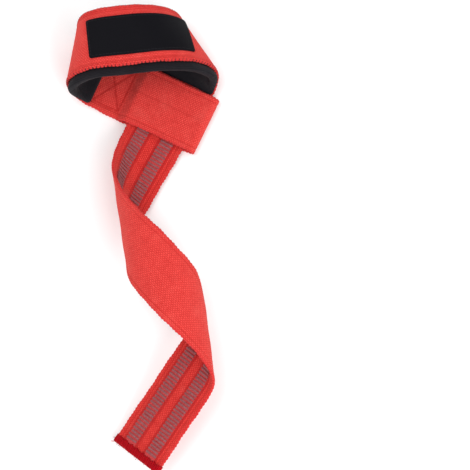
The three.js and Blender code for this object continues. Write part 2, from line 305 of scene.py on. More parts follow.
WEBBING_ROWS = 1180
HALF_COLUMNS = [0.12, 0.2, 0.3, 0.4, 0.5, 0.6, 0.66, 0.7, 0.77, 0.815, 0.83, 0.845, 0.88, 0.93,
                0.965, 0.988, 1]
SELVEDGE_PITCH = 2.3
SELVEDGE_LAG = 0.9
SELVEDGE_DIP = 0.46
SELVEDGE_SWELL = 0.48
STRAIGHT_END = 7.0
ROUND_FROM = 18.1
ROUND_RUN = 0.95
EDGE_LINE_IN = 15.8
EDGE_LINE_DEPTH = 0.22
STRIPE_SIDES = (3.4, 13.2)
STRIPE_SIDE_DEPTH = 0.16

web_end = ends["tail_end"]
web_rows = np.linspace(0.0, web_end, WEBBING_ROWS)
web_columns = np.array([-share for share in reversed(HALF_COLUMNS)] + [0] + HALF_COLUMNS)
along, share = np.meshgrid(web_rows, web_columns, indexing="ij")
which_edge = np.sign(share)
bobble = np.abs(np.sin(math.pi * along / SELVEDGE_PITCH + SELVEDGE_LAG * which_edge))
lumps = 0.17 * np.sin(along / 5.3 + which_edge) + 0.13 * np.sin(along / 1.7 + 1.7 * which_edge)
lumps = lumps * (1 - eased(along, web_end - 2 * STRAIGHT_END, web_end - STRAIGHT_END))
scallops = (SELVEDGE_SWELL * bobble + lumps) * eased(np.abs(share), 0.8, 0.99)
side = share * (half_width - SELVEDGE_DIP + scallops)
reach_in = np.abs(share) * half_width
over_edge = np.clip((reach_in - ROUND_FROM) / ROUND_RUN, 0, 1)
shoulder = np.sqrt(np.clip(1 - over_edge ** 2, 0.06, 1))
thick = (half_thickness - EDGE_LINE_DEPTH * dent(reach_in, EDGE_LINE_IN, 0.4)) * shoulder
stripe_bed = eased(along, sleeve_mouth - 20, sleeve_mouth) * STRIPE_SIDE_DEPTH * (
    dent(reach_in, STRIPE_SIDES[0], 0.5) + dent(reach_in, STRIPE_SIDES[1], 0.5))
webbing = ribbon("webbing", along, side, thick, -(thick - stripe_bed * shoulder))


class Recipe:
    """One finish: its node tree, with short names for the nodes that a fabric needs."""

    def __init__(self, name, roughness, sheen=0.0, sheen_roughness=0.5, specular=0.5,
                 sheen_tint=(1.0, 1.0, 1.0)):
        self.material = bpy.data.materials.new(name)
        self.material.use_nodes = True
        self.tree = self.material.node_tree
        self.shader = self.tree.nodes["Principled BSDF"]
        self.shader.inputs["Roughness"].default_value = roughness
        self.shader.inputs["Sheen Weight"].default_value = sheen
        self.shader.inputs["Sheen Roughness"].default_value = sheen_roughness
        self.shader.inputs["Specular IOR Level"].default_value = specular
        self.shader.inputs["Sheen Tint"].default_value = (*sheen_tint, 1.0)

    def set(self, socket, value):
        if isinstance(value, bpy.types.NodeSocket):
            self.tree.links.new(value, socket)
        else:
            socket.default_value = value

    def math(self, operation, *values):
        node = self.tree.nodes.new("ShaderNodeMath")
        node.operation = operation
        for socket, value in zip(node.inputs, values):
            self.set(socket, value)
        return node.outputs[0]

    def flat(self):
        """Where a point lies on the flat cloth: as one place, across it and along it, in metres."""
        node = self.tree.nodes.new("ShaderNodeTexCoord")
        parts = self.tree.nodes.new("ShaderNodeSeparateXYZ")
        self.set(parts.inputs[0], node.outputs["UV"])
        return node.outputs["UV"], parts.outputs["X"], parts.outputs["Y"]

    def place(self):
        return self.tree.nodes.new("ShaderNodeTexCoord").outputs["Object"]

    def noise(self, where, scale, detail=3.0, roughness=0.55):
        node = self.tree.nodes.new("ShaderNodeTexNoise")
        self.set(node.inputs["Vector"], where)
        node.inputs["Scale"].default_value = scale
        node.inputs["Detail"].default_value = detail
        node.inputs["Roughness"].default_value = roughness
        return node.outputs["Fac"]

    def ramp(self, value, low, high, to_low=0.0, to_high=1.0):
        node = self.tree.nodes.new("ShaderNodeMapRange")
        node.interpolation_type = "SMOOTHSTEP"
        for socket, number in zip(node.inputs, (value, low, high, to_low, to_high)):
            self.set(socket, number)
        return node.outputs[0]

    def mix(self, share, first, second):
        """Two colours mixed: the node's inputs 6 and 7, which come out mixed at its output 2."""
        node = self.tree.nodes.new("ShaderNodeMix")
        node.data_type = "RGBA"
        self.set(node.inputs[0], share)
        self.set(node.inputs[6], (*first, 1.0) if isinstance(first, tuple) else first)
        self.set(node.inputs[7], (*second, 1.0) if isinstance(second, tuple) else second)
        return node.outputs[2]

    def attribute(self, name):
        node = self.tree.nodes.new("ShaderNodeAttribute")
        node.attribute_name = name
        return node.outputs["Fac"]

    def paint(self, colour):
        self.set(self.shader.inputs["Base Color"], colour)

    def bump(self, height, depth, strength=1.0):
        node = self.tree.nodes.new("ShaderNodeBump")
        node.inputs["Strength"].default_value = strength
        node.inputs["Distance"].default_value = depth
        self.set(node.inputs["Height"], height)
        self.set(self.shader.inputs["Normal"], node.outputs[0])

    def apart(self, value, at):
        return self.math("ABSOLUTE", self.math("SUBTRACT", value, at))

    def nearness(self, across, along, start, end, reach):
        """1 on a line from start to end (across, along in mm), falling to 0 at reach metres."""
        (x0, y0), (x1, y1) = np.asarray(start) * MM, np.asarray(end) * MM
        run_x, run_y = float(x1 - x0), float(y1 - y0)
        squared = run_x ** 2 + run_y ** 2
        from_x = self.math("SUBTRACT", across, float(x0))
        from_y = self.math("SUBTRACT", along, float(y0))
        share = self.math("ADD", self.math("MULTIPLY", from_x, run_x / squared),
                          self.math("MULTIPLY", from_y, run_y / squared))
        share = self.math("MINIMUM", self.math("MAXIMUM", share, 0.0), 1.0)
        off_x = self.math("SUBTRACT", from_x, self.math("MULTIPLY", share, run_x))
        off_y = self.math("SUBTRACT", from_y, self.math("MULTIPLY", share, run_y))
        off = self.math("SQRT", self.math("ADD", self.math("MULTIPLY", off_x, off_x),
                                          self.math("MULTIPLY", off_y, off_y)))
        return self.ramp(off, 0.0, reach, 1.0, 0.0)

    def grains(self, across, along, width, length):
        """The raised grains of a weave, in columns that are shifted by half a grain in turn."""
        column = self.math("DIVIDE", across, width)
        odd = self.math("FLOORED_MODULO", self.math("FLOOR", column), 2.0)
        run = self.math("ADD", self.math("DIVIDE", along, length), self.math("MULTIPLY", odd, 0.5))
        over = self.math("ABSOLUTE", self.math("SINE", self.math("MULTIPLY", column, math.pi)))
        under = self.math("ABSOLUTE", self.math("SINE", self.math("MULTIPLY", run, math.pi)))
        return self.math("MULTIPLY", self.math("POWER", over, 0.75),
                         self.math("POWER", under, 0.85))


# The crossed box that sews the folded-back layer down, and the crease along the sleeve, as lines
# between (across, along) places
BOX_SIDE = 14.3
BOX_PAST_STEP = 0.8
BOX_PAST_WEB = 3.2
CREASE_SIDE = 1.5
CREASE_PAST_FOLD = 2.0
box_near = ends["step_foot"] + BOX_PAST_STEP
box_far = ends["sewn_web"] + BOX_PAST_WEB
box_lines = [
    ((-BOX_SIDE, box_near), (BOX_SIDE, box_near)),
    ((-BOX_SIDE, box_near), (-BOX_SIDE, box_far)),
    ((BOX_SIDE, box_near), (BOX_SIDE, box_far)),
    ((-BOX_SIDE, box_near), (BOX_SIDE, box_far)),
    ((BOX_SIDE, box_near), (-BOX_SIDE, box_far)),
]
crease_line = ((CREASE_SIDE, ends["sleeve_fold"] + CREASE_PAST_FOLD), (CREASE_SIDE, box_near))

# The look of the cloth: its reds, and the sizes of its weave in metres, as the materials take them
WEAVE_WIDTH = 0.00102
WEAVE_LENGTH = 0.00165
WEAVE_DEPTH = 0.00034
STRAY_REACH = 0.0007
DRIFT_REACH = 0.0011
YARN_RED = (0.77, 0.064, 0.054)
DEEP_RED = (0.47, 0.016, 0.0145)
TAIL_YARN_RED = (0.73, 0.042, 0.034)
TAIL_DEEP_RED = (0.43, 0.011, 0.01)
PAINTED_YARN_HIGHLIGHT_RED = (0.9, 0.16, 0.14)
WORN_AND_HIGHLIGHT_RED = (0.86, 0.16, 0.13)
EDGE_LINE_RED = (0.42, 0.01, 0.01)
ROUNDED_EDGE_SHADE_RED = (0.5, 0.018, 0.022)
STRIPE_GROOVE_SHADE_RED = (0.4, 0.01, 0.012)
UNDER_BARS_RED = (0.52, 0.09, 0.105)
SEAM_AND_CREASE_SHADE_RED = (0.36, 0.008, 0.008)
TAIL_TONE_FROM = 0.292
TAIL_TONE_TO = 0.300
EDGE_LINE_REACH = 0.0007
ROUNDED_EDGE_SHADE_RUN = (0.0172, 0.0187)
STRIPE_SIDE_RUN = (0.0003, 0.0013)
STRIPE_MIDDLE = 0.00835
UNDER_BARS_RUN = (0.0036, 0.0043)
SEWING_REACH = 0.0012
CREASE_REACH = 0.0011

cotton = Recipe("red_cotton_webbing", 0.88, sheen=0.2, sheen_roughness=0.6, specular=0.12,
                sheen_tint=(1.0, 0.3, 0.25))
flat_place, across, lengthwise = cotton.flat()
wide_stray = cotton.math("MULTIPLY", cotton.noise(flat_place, 160.0, 1.0), STRAY_REACH)
fine_stray = cotton.math("MULTIPLY", cotton.noise(flat_place, 620.0, 2.0), STRAY_REACH)
stray = cotton.math("ADD", wide_stray, fine_stray)
drift = cotton.math("MULTIPLY", cotton.noise(flat_place, 520.0, 2.0), DRIFT_REACH)
grain = cotton.grains(cotton.math("ADD", across, stray), cotton.math("ADD", lengthwise, drift),
                      WEAVE_WIDTH, WEAVE_LENGTH)
fuzz = cotton.noise(flat_place, 2300.0, 5.0, 0.75)
slub = cotton.noise(flat_place, 760.0, 3.0, 0.6)
blotch = cotton.noise(flat_place, 210.0, 3.0, 0.6)

outer_face = cotton.ramp(cotton.attribute("outer_face"), 0.4, 0.6)
on_tail = cotton.math("MULTIPLY", cotton.ramp(lengthwise, TAIL_TONE_FROM, TAIL_TONE_TO),
                      cotton.math("SUBTRACT", 1.0, outer_face))
yarn = cotton.mix(on_tail, YARN_RED, TAIL_YARN_RED)
deep = cotton.mix(on_tail, DEEP_RED, TAIL_DEEP_RED)
yarn_hair = cotton.math("ADD", cotton.math("MULTIPLY", fuzz, 0.45),
                        cotton.math("MULTIPLY", slub, 0.5))
weave_tone = cotton.math("ADD", cotton.math("MULTIPLY", grain, 0.55), yarn_hair)
red = cotton.mix(cotton.ramp(weave_tone, 0.3, 1.15), deep, yarn)
# Painted highlight: the tops of the weave's grains are lightened towards a pale red, as if lit.
red = cotton.mix(cotton.ramp(weave_tone, 0.85, 1.12, 0.0, 0.22), red, PAINTED_YARN_HIGHLIGHT_RED)
red = cotton.mix(cotton.ramp(blotch, 0.42, 0.75, 0.0, 0.35), red, deep)
# Paler pink flecks on the fuzz: partly worn fibres, partly a painted highlight on the fibres.
wear_and_fibre_highlight = cotton.ramp(cotton.noise(cotton.place(), 60.0, 3.0, 0.6), 0.5, 0.8, 0.0, 0.35)
red = cotton.mix(cotton.math("MULTIPLY", wear_and_fibre_highlight, fuzz), red, WORN_AND_HIGHLIGHT_RED)

from_middle = cotton.math("ABSOLUTE", across)
off_line = cotton.apart(from_middle, EDGE_LINE_IN * MM)
red = cotton.mix(cotton.ramp(off_line, 0.0, EDGE_LINE_REACH, 0.5, 0.0), red, EDGE_LINE_RED)
# Painted shade: the rounded edges of the webbing are darkened where they turn away from the light.
rounded_edge_shade = cotton.ramp(from_middle, *ROUNDED_EDGE_SHADE_RUN, 0.0, 0.5)
red = cotton.mix(rounded_edge_shade, red, ROUNDED_EDGE_SHADE_RED)
# Painted shade: dark lines in the shallow grooves beside each grip stripe on the tail.
beside = cotton.math("MINIMUM", cotton.apart(from_middle, STRIPE_SIDES[0] * MM),
                     cotton.apart(from_middle, STRIPE_SIDES[1] * MM))
stripe_groove_shade = cotton.math("MULTIPLY", on_tail, cotton.ramp(beside, *STRIPE_SIDE_RUN, 0.7, 0.0))
red = cotton.mix(stripe_groove_shade, red, STRIPE_GROOVE_SHADE_RED)
off_stripe = cotton.apart(from_middle, STRIPE_MIDDLE)
under_bars = cotton.math("MULTIPLY", on_tail,
                         cotton.ramp(off_stripe, *UNDER_BARS_RUN, 0.42, 0.0))
red = cotton.mix(under_bars, red, UNDER_BARS_RED)

sewn = cotton.nearness(across, lengthwise, *box_lines[0], SEWING_REACH)
for line in box_lines[1:]:
    sewn = cotton.math("MAXIMUM", sewn, cotton.nearness(across, lengthwise, *line, SEWING_REACH))
crease = cotton.nearness(across, lengthwise, *crease_line, CREASE_REACH)
# Painted shade: the crease along the sleeve and the sunk stitch lines of the box are darkened, as
# if shade lay in them.
red = cotton.mix(cotton.math("MULTIPLY", crease, 0.25), red, SEAM_AND_CREASE_SHADE_RED)
red = cotton.mix(cotton.math("MULTIPLY", sewn, 0.35), red, SEAM_AND_CREASE_SHADE_RED)
cotton.paint(red)
relief = cotton.math("ADD", cotton.math("MULTIPLY_ADD", fuzz, 0.65, grain),
                     cotton.math("MULTIPLY", slub, 0.5))
relief = cotton.math("SUBTRACT", relief, cotton.math("MULTIPLY", sewn, 1.2))
cotton.bump(relief, WEAVE_DEPTH, 0.8)
webbing.data.materials.append(cotton.material)

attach(webbing, "root")
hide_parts("webbing_strap")


# The wrist pad: a strip of black knit-faced foam, sewn to the inside of the loop along both edges
# of the webbing. The seams pull it in, so it swells between them, and its near edge rolls out
# past the webbing. It thins towards its right end, which follows the edge of the sleeve.
PAD_END_WIDTH = 37.4
PAD_NEAR_SWELL = 5.3
PAD_SWELL_RUN = 30.0
PAD_THICKNESS = 5.5
PAD_SKIN_PULL = 0.4
PAD_START = 4.0
PAD_MOUTH_CLEARANCE = 1.2
PAD_SLANT_RUN = 14.0
PAD_TAPER_RUN = 10.0
PAD_TAPERED_SHARE = 0.36
PAD_CORNER = 3.0
PAD_RIM_RADIUS = 2.6
PAD_RIM_MIDDLE = 0.26
PAD_ROLL_RISE = 0.55
PAD_ROLL_RUN = 1.2
PAD_SEAM_IN = 17.0
PAD_SEAM_REACH = 1.2
PAD_SEAM_DEPTH = 0.8
PAD_SEAM_FROM_END = (3, 8)
PAD_SWELL_FROM_END = (4, 14)
PAD_STITCH_PITCH = 3.2
PAD_ROWS = 250
PAD_COLUMNS = 71
PAD_FINE_STEPS = np.array([0, 0.2, 0.5, 1.0, 1.6, 2.3, 3.0, 3.8, 4.8])


# How full a rounded edge stands: 1 inside it, and down a quarter circle to the least at the edge
def rounded(from_edge, radius, least=0.0):
    return np.sqrt(np.clip(1 - np.clip(1 - from_edge / radius, 0, 1) ** 2, least, 1))


pad_from = ends["sewn_web"] + PAD_START
pad_to = sleeve_mouth - PAD_MOUTH_CLEARANCE
pad_rows = np.concatenate([pad_from + PAD_FINE_STEPS,
                           np.linspace(pad_from + 6, pad_to - 6, PAD_ROWS),
                           pad_to - PAD_FINE_STEPS[::-1]])
pad_columns = np.sin(np.linspace(-1, 1, PAD_COLUMNS) * math.pi / 2)
along, share = np.meshgrid(pad_rows, pad_columns, indexing="ij")
to_end = np.minimum(along - pad_from, pad_to - along)
far_half = PAD_END_WIDTH / 2 - PAD_CORNER * (1 - rounded(to_end, PAD_CORNER))
near_half = far_half + PAD_NEAR_SWELL * eased(to_end, 0, PAD_SWELL_RUN)
pad_half = np.where(share < 0, near_half, far_half)
side = share * pad_half
mouth_slant = 2 * half_width / abs(math.tan(crossing))
slanting = eased(along, pad_to - PAD_SLANT_RUN, pad_to)
pad_along = along + mouth_slant * (side / half_width + 1) / 2 * slanting
rim = np.minimum((1 - np.abs(share)) * pad_half, to_end)
belly = rounded(rim, PAD_RIM_RADIUS)
seam = dent(np.abs(side), PAD_SEAM_IN, PAD_SEAM_REACH) * eased(to_end, *PAD_SEAM_FROM_END)
seam_stitch = 0.85 + 0.15 * np.cos(2 * math.pi * along / PAD_STITCH_PITCH)
swell = (0.3 * np.sin(along / 8.3 + 0.4) * np.cos(side / 9.0)
         * eased(to_end, *PAD_SWELL_FROM_END))
fullness = PAD_TAPERED_SHARE + (1 - PAD_TAPERED_SHARE) * eased(pad_to - along, 0, PAD_TAPER_RUN)
pad_depth = ((PAD_THICKNESS - PAD_SKIN_PULL + swell)
             - PAD_SEAM_DEPTH * seam * seam_stitch) * fullness
back = -half_thickness - PIECE_GAP
past_webbing = np.clip((np.abs(side) - half_width) / PAD_ROLL_RUN, 0, 1)
middle_of_rim = back - PAD_RIM_MIDDLE * PAD_THICKNESS * fullness
outer = back + PAD_ROLL_RISE * past_webbing * belly - (back - middle_of_rim) * (1 - belly)
inner = middle_of_rim + (back - pad_depth - middle_of_rim) * belly
padding = ribbon("padding", pad_along, side, np.maximum(outer, inner + 0.02), inner)

KNIT_WIDTH = 0.0009
KNIT_LENGTH = 0.0008
KNIT_DEPTH = 0.00022
KNIT_HOLLOW_BLACK = (0.0045, 0.004, 0.0056)
KNIT_BLACK = (0.013, 0.0112, 0.0147)
NAP_GREY = (0.027, 0.023, 0.027)
RUBBED_GREY = (0.02, 0.018, 0.021)

knit = Recipe("black_knit_foam", 0.85, sheen=0.04, sheen_roughness=0.5, specular=0.1)
flat_place, across, lengthwise = knit.flat()
knit_grain = knit.grains(across, lengthwise, KNIT_WIDTH, KNIT_LENGTH)
nap = knit.noise(flat_place, 1500.0, 3.0, 0.65)
wear = knit.noise(knit.place(), 90.0, 2.0, 0.5)
black = knit.mix(knit.ramp(knit_grain, 0.1, 0.9), KNIT_HOLLOW_BLACK, KNIT_BLACK)
black = knit.mix(knit.ramp(nap, 0.5, 0.8, 0.0, 0.5), black, NAP_GREY)
black = knit.mix(knit.ramp(wear, 0.45, 0.7, 0.0, 0.3), black, RUBBED_GREY)
knit.paint(black)
knit.bump(knit.math("MULTIPLY_ADD", nap, 0.6, knit_grain), KNIT_DEPTH, 0.7)
padding.data.materials.append(knit.material)

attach(padding, "root")
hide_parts("wrist_pad")


# The label patch: a blank black woven patch on the outside of the band, cut with small round
# corners. Its border is folded in, and a line of black lock stitches holds it.
LABEL_WIDTH = 25.0
LABEL_LENGTH = 66.0
LABEL_THICKNESS = 0.8
LABEL_SHIFT = 12.0
LABEL_CORNER = 1.5
LABEL_SETTLED = 0.2
LABEL_SUNK = 0.25
LABEL_EDGE_RADIUS = 0.55
LABEL_STITCH_IN = 1.35
LABEL_ROWS = 110
LABEL_COLUMNS = 49
LABEL_FINE_STEPS = np.array([0, 0.12, 0.35, 0.75, 1.5])
label_middle = ends["band"] - band_run / 2 + LABEL_SHIFT
label_from = label_middle - LABEL_LENGTH / 2
label_to = label_middle + LABEL_LENGTH / 2
label_rows = np.concatenate([label_from + LABEL_FINE_STEPS,
                             np.linspace(label_from + 2.2, label_to - 2.2, LABEL_ROWS),
                             label_to - LABEL_FINE_STEPS[::-1]])
even_columns = np.linspace(-1, 1, LABEL_COLUMNS)
label_columns = np.sign(even_columns) * (1 - (1 - np.abs(even_columns)) ** 1.5)
along, share = np.meshgrid(label_rows, label_columns, indexing="ij")
to_end = np.minimum(along - label_from, label_to - along)
label_half = LABEL_WIDTH / 2 - LABEL_CORNER * (1 - rounded(to_end, LABEL_CORNER))
side = share * label_half
rim = np.minimum((1 - np.abs(share)) * label_half, to_end)
cushion = rounded(rim, LABEL_EDGE_RADIUS, 0.08)
hem_fold = 0.08 * (1 - eased(rim, 1.9, 2.9)) - 0.12 * dent(rim, LABEL_STITCH_IN, 0.3)
under = half_thickness + PIECE_GAP - LABEL_SUNK
label_top = under + LABEL_SUNK + (LABEL_THICKNESS - LABEL_SETTLED + hem_fold) * cushion
patch = ribbon("patch", along, side, label_top, np.full_like(along, under))

SATIN_WIDTH = 0.00045
SATIN_LENGTH = 0.0011
SATIN_DEPTH = 0.00008
SATIN_HOLLOW_BLACK = (0.0022, 0.002, 0.0034)
SATIN_BLACK = (0.0043, 0.004, 0.0062)
LINT_GREY = (0.009, 0.0085, 0.012)

satin = Recipe("black_label_cloth", 0.6, specular=0.07)
flat_place, across, lengthwise = satin.flat()
threads = satin.grains(lengthwise, across, SATIN_WIDTH, SATIN_LENGTH)
lint = satin.noise(flat_place, 900.0, 3.0, 0.6)
dark = satin.mix(satin.ramp(threads, 0.1, 0.9), SATIN_HOLLOW_BLACK, SATIN_BLACK)
dark = satin.mix(satin.ramp(lint, 0.55, 0.85, 0.0, 0.35), dark, LINT_GREY)
satin.paint(dark)
satin.bump(threads, SATIN_DEPTH, 0.6)
patch.data.materials.append(satin.material)

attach(patch, "root")
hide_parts("label_patch")


# The grip stripes: two rows of small raised bars of grey grip rubber, moulded onto the inner face
# of the tail from the sleeve to the hem, so that the strap holds on a bar.
STRIPE_WIDTH = 8.0
STRIPE_SPACING = 16.7
STRIPE_START = 4.0
BAR_PITCH = 2.3
BAR_LENGTH = 1.35
BAR_HEIGHT = 0.75
BAR_ROUNDING = 0.3
BAR_OFF_MIDDLE = 0.5
HEM_LENGTH = 4.5


def deselect_all():
    for thing in bpy.context.selected_objects:
        thing.select_set(False)


# A small block with rounded edges, as its places and faces
def flat_bar(width, length, height, round_by):
    deselect_all()
    bpy.ops.mesh.primitive_cube_add(size=1.0)
    bar = bpy.context.object
    bpy.ops.object.mode_set(mode="EDIT")
    bpy.ops.mesh.select_all(action="SELECT")
    bpy.ops.transform.resize(value=(width, length, height))
    bpy.ops.mesh.bevel(offset=round_by, segments=2, affect="EDGES")
    bpy.ops.object.mode_set(mode="OBJECT")
    mesh = bar.data
    places = np.zeros(len(mesh.vertices) * 3, np.float32)
    mesh.vertices.foreach_get("co", places)
    faces = [tuple(face.vertices) for face in mesh.polygons]
    bpy.data.objects.remove(bar)
    bpy.data.meshes.remove(mesh)
    return places.reshape(-1, 3).astype(float), faces


# Small shapes, each laid at (across, along, height) and turned in the strap's face. Their faces
# are reversed, because across, along and height turn the other way round from x, y and z.
def sewn_on(name, spots, shapes, seed=3):
    chance = np.random.default_rng(seed)
    places, faces, count = [], [], 0
    for (across_at, along_at, height_at, turn), (shape, shape_faces) in zip(spots, shapes):
        turn = turn + chance.normal(0, 0.02)
        x = shape[:, 0] * math.cos(turn) - shape[:, 1] * math.sin(turn)
        y = shape[:, 0] * math.sin(turn) + shape[:, 1] * math.cos(turn)
        places.append(np.stack([x + across_at, y + along_at, shape[:, 2] + height_at], axis=1))
        faces += [tuple(corner + count for corner in reversed(face)) for face in shape_faces]
        count += len(shape)
    laid = np.concatenate(places)
    return make_piece(name, on_strap(laid[:, 1], laid[:, 0], laid[:, 2]), faces, laid[:, :2])


SCUFF_DEPTH = 0.0002
RUBBER_DARK = (0.18, 0.046, 0.05)
RUBBER_GREY = (0.34, 0.108, 0.116)
RUBBER_RUBBED_RED = (0.24, 0.05, 0.055)

rubber = Recipe("grey_grip_rubber", 0.6, specular=0.25)
flat_place, _, _ = rubber.flat()
scuff = rubber.noise(flat_place, 700.0, 4.0, 0.7)
grey = rubber.mix(rubber.ramp(scuff, 0.3, 0.75), RUBBER_DARK, RUBBER_GREY)
patchy = rubber.noise(flat_place, 260.0, 2.0, 0.6)
grey = rubber.mix(rubber.ramp(patchy, 0.35, 0.75, 0.0, 0.8), grey, RUBBER_RUBBED_RED)
rubber.paint(grey)
rubber.bump(scuff, SCUFF_DEPTH, 0.5)

stripe_from = sleeve_mouth + STRIPE_START
stripe_to = ends["tail_end"] - HEM_LENGTH - PIECE_GAP
bar_count = int((stripe_to - stripe_from) // BAR_PITCH)
bar_places, bar_faces = flat_bar(STRIPE_WIDTH, BAR_LENGTH, BAR_HEIGHT, BAR_ROUNDING)
bar_height = -half_thickness - BAR_OFF_MIDDLE
for hand_name, hand in (("left", 1), ("right", -1)):
    uneven = np.random.default_rng(20 + hand).uniform(-1, 1, (bar_count, 4))
    spots, bars = [], []
    for index, (shift, slip, wide, long) in enumerate(uneven):
        bar_side = hand * STRIPE_SPACING / 2 + 0.2 * shift
        bar_along = stripe_from + (index + 0.5 + 0.07 * slip) * BAR_PITCH
        spots.append((bar_side, bar_along, bar_height, 0.0))
        stretched = bar_places * np.array([1 + 0.04 * wide, 1 + 0.13 * long, 1.0])
        bars.append((stretched, bar_faces))
    grip = sewn_on("grip_" + hand_name + "_bars", spots, bars, seed=5 + hand)
    grip.data.materials.append(rubber.material)
    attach(grip, "root")
    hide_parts("grip_stripe_" + hand_name)


# The hem: dark red thread wound over the tail's cut end in close turns, so that the webbing
# doesn't fray. It is one closed skin over both faces, hollowed where the webbing lies in it.
HEM_TURN_PITCH = 1.25
HEM_COLUMNS = 201
HEM_END_RADIUS = 1.5
HEM_EDGE_RADIUS = 1.3
HEM_OVER_CLOTH = 0.35
HEM_TURN_HEIGHT = 0.7
ROOM_SIDE = 0.09
ROOM_FACE = 0.035
ROOM_END = 0.03
ROOM_ROUND_RUN = 0.9
hem_half = half_width + PIECE_GAP
hem_from = ends["tail_end"] + HEM_OVERHANG - HEM_LENGTH
hem_to = ends["tail_end"] + HEM_OVERHANG
hem_rows = np.concatenate([np.linspace(hem_from, hem_to - 1.6, 9),
                           hem_to - np.array([1.2, 0.8, 0.45, 0.2, 0.05, 0.0])])
along, share = np.meshgrid(hem_rows, np.linspace(-1, 1, HEM_COLUMNS), indexing="ij")
side = share * hem_half
wandering = side + 0.25 * np.sin(side * 1.7)
turns = np.abs(np.sin(math.pi * wandering / HEM_TURN_PITCH + 0.3 * (along - hem_from)))
ragged = 0.4 * np.sin(side * 1.3) + 0.3 * np.sin(side * 4.3 + 1.0)
hem_along = along - ragged * (1 - eased(along, hem_from, hem_from + 1.5))
hem_along = hem_along - 0.45 * turns * (1 - eased(along, hem_from, hem_from + 1.0))
hem_along = hem_along + 0.3 * (turns - 0.6) * eased(along, hem_to - HEM_END_RADIUS, hem_to)
nose = rounded(hem_to - along, HEM_END_RADIUS, 0.01)
edge_nose = rounded((1 - np.abs(share)) * hem_half, HEM_EDGE_RADIUS, 0.1)
lift = (half_thickness + HEM_OVER_CLOTH + HEM_TURN_HEIGHT * turns ** 0.8) * nose * edge_nose
hem = ribbon("hem", hem_along, side, lift, -lift)

room_half = half_width + ROOM_SIDE
room_near = np.linspace(half_width - ROOM_ROUND_RUN, room_half, 7)
room_ends = [hem_from - 3, ends["tail_end"] + ROOM_END]
along, side = np.meshgrid(room_ends, np.concatenate([-room_near[::-1], room_near]), indexing="ij")
room_edge = np.clip((np.abs(side) - half_width + ROOM_ROUND_RUN) / 1.04, 0, 1)
room = (half_thickness + ROOM_FACE) * np.sqrt(1 - room_edge ** 2)
webbing_room = ribbon("webbing_room", along, side, room, -room)
hollow = hem.modifiers.new("room_for_the_webbing", "BOOLEAN")
hollow.object = webbing_room
hollow.operation = "DIFFERENCE"
hollow.solver = "EXACT"
deselect_all()
bpy.context.view_layer.objects.active = hem
bpy.ops.object.modifier_apply(modifier=hollow.name)
bpy.data.objects.remove(webbing_room)

PLY_WIDTH = 0.00048
PLY_LENGTH = 0.0007
PLY_DEPTH = 0.0002
WINE_DEEP = (0.17, 0.001, 0.004)
WINE_BRIGHT = (0.56, 0.008, 0.014)
WINE_SHADE = (0.3, 0.004, 0.009)

thread = Recipe("dark_red_thread", 0.8, sheen=0.03, sheen_roughness=0.5, specular=0.04,
                sheen_tint=(1.0, 0.2, 0.2))
flat_place, across, lengthwise = thread.flat()
ply = thread.grains(across, lengthwise, PLY_WIDTH, PLY_LENGTH)
shade = thread.noise(flat_place, 350.0, 3.0, 0.6)
wine = thread.mix(thread.ramp(ply, 0.05, 0.8), WINE_DEEP, WINE_BRIGHT)
wine = thread.mix(thread.ramp(shade, 0.4, 0.7, 0.0, 0.6), wine, WINE_SHADE)
thread.paint(wine)
thread.bump(ply, PLY_DEPTH, 0.8)
hem.data.materials.append(thread.material)

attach(hem, "root")
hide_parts("tail_hem")


# The lock stitches: red ones hold the folded-back layer in a crossed box and the pad along both
# seams, and black ones go round the patch. Each is a short raised length of thread.
STITCH_LENGTH = 2.4
STITCH_GAP = 0.5
STITCH_WIDTH = 0.55
STITCH_HEIGHT = 0.5
STITCH_ROUNDING = 0.2
BOX_STITCHES_SUNK = 0.02
SEAM_STITCHES_SUNK = 0.05
SEAM_SIDE = 16.9
SEAM_FROM_END = 3.0
PATCH_STITCH_LENGTH = 1.7
PATCH_STITCH_WIDTH = 0.36
PATCH_STITCH_ROUNDING = 0.13
PATCH_STITCH_PITCH = 2.1
TWIST_DEPTH = 0.0001
THREAD_RED_DEEP = (0.34, 0.008, 0.008)
THREAD_RED = (0.58, 0.028, 0.024)
THREAD_BLACK_DEEP = (0.004, 0.004, 0.006)
THREAD_BLACK = (0.012, 0.011, 0.014)


def sewing_thread(name, roughness, deep_tone, tone):
    recipe = Recipe(name, roughness, specular=0.15)
    flat_place, _, _ = recipe.flat()
    twist = recipe.noise(flat_place, 2200.0, 2.0, 0.5)
    recipe.paint(recipe.mix(recipe.ramp(twist, 0.3, 0.7), deep_tone, tone))
    recipe.bump(twist, TWIST_DEPTH, 0.6)
    return recipe.material


# The stitches of a line between two (across, along) places, each at one height off the cloth
def stitch_line(start, end, height, pitch=STITCH_LENGTH + STITCH_GAP):
    (x0, y0), (x1, y1) = start, end
    count = max(1, round(math.hypot(x1 - x0, y1 - y0) / pitch))
    turn = math.atan2(y1 - y0, x1 - x0) - math.pi / 2
    return [(x0 + (x1 - x0) * (index + 0.5) / count, y0 + (y1 - y0) * (index + 0.5) / count,
             height, turn) for index in range(count)]


red_thread = sewing_thread("red_sewing_thread", 0.7, THREAD_RED_DEEP, THREAD_RED)
stitch_shape = flat_bar(STITCH_WIDTH, STITCH_LENGTH, STITCH_HEIGHT, STITCH_ROUNDING)
box_spots = [spot for line in box_lines
             for spot in stitch_line(*line, -half_thickness + BOX_STITCHES_SUNK)]
box_sewing = sewn_on("box_stitches", box_spots, [stitch_shape] * len(box_spots))
box_sewing.data.materials.append(red_thread)
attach(box_sewing, "root")

seam_spots = [spot for hand in (-1, 1)
              for spot in stitch_line((hand * SEAM_SIDE, pad_from + SEAM_FROM_END),
                                      (hand * SEAM_SIDE, pad_to - SEAM_FROM_END),
                                      half_thickness - SEAM_STITCHES_SUNK)]
seam_sewing = sewn_on("pad_seam_stitches", seam_spots, [stitch_shape] * len(seam_spots), seed=8)
seam_sewing.data.materials.append(red_thread)
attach(seam_sewing, "root")

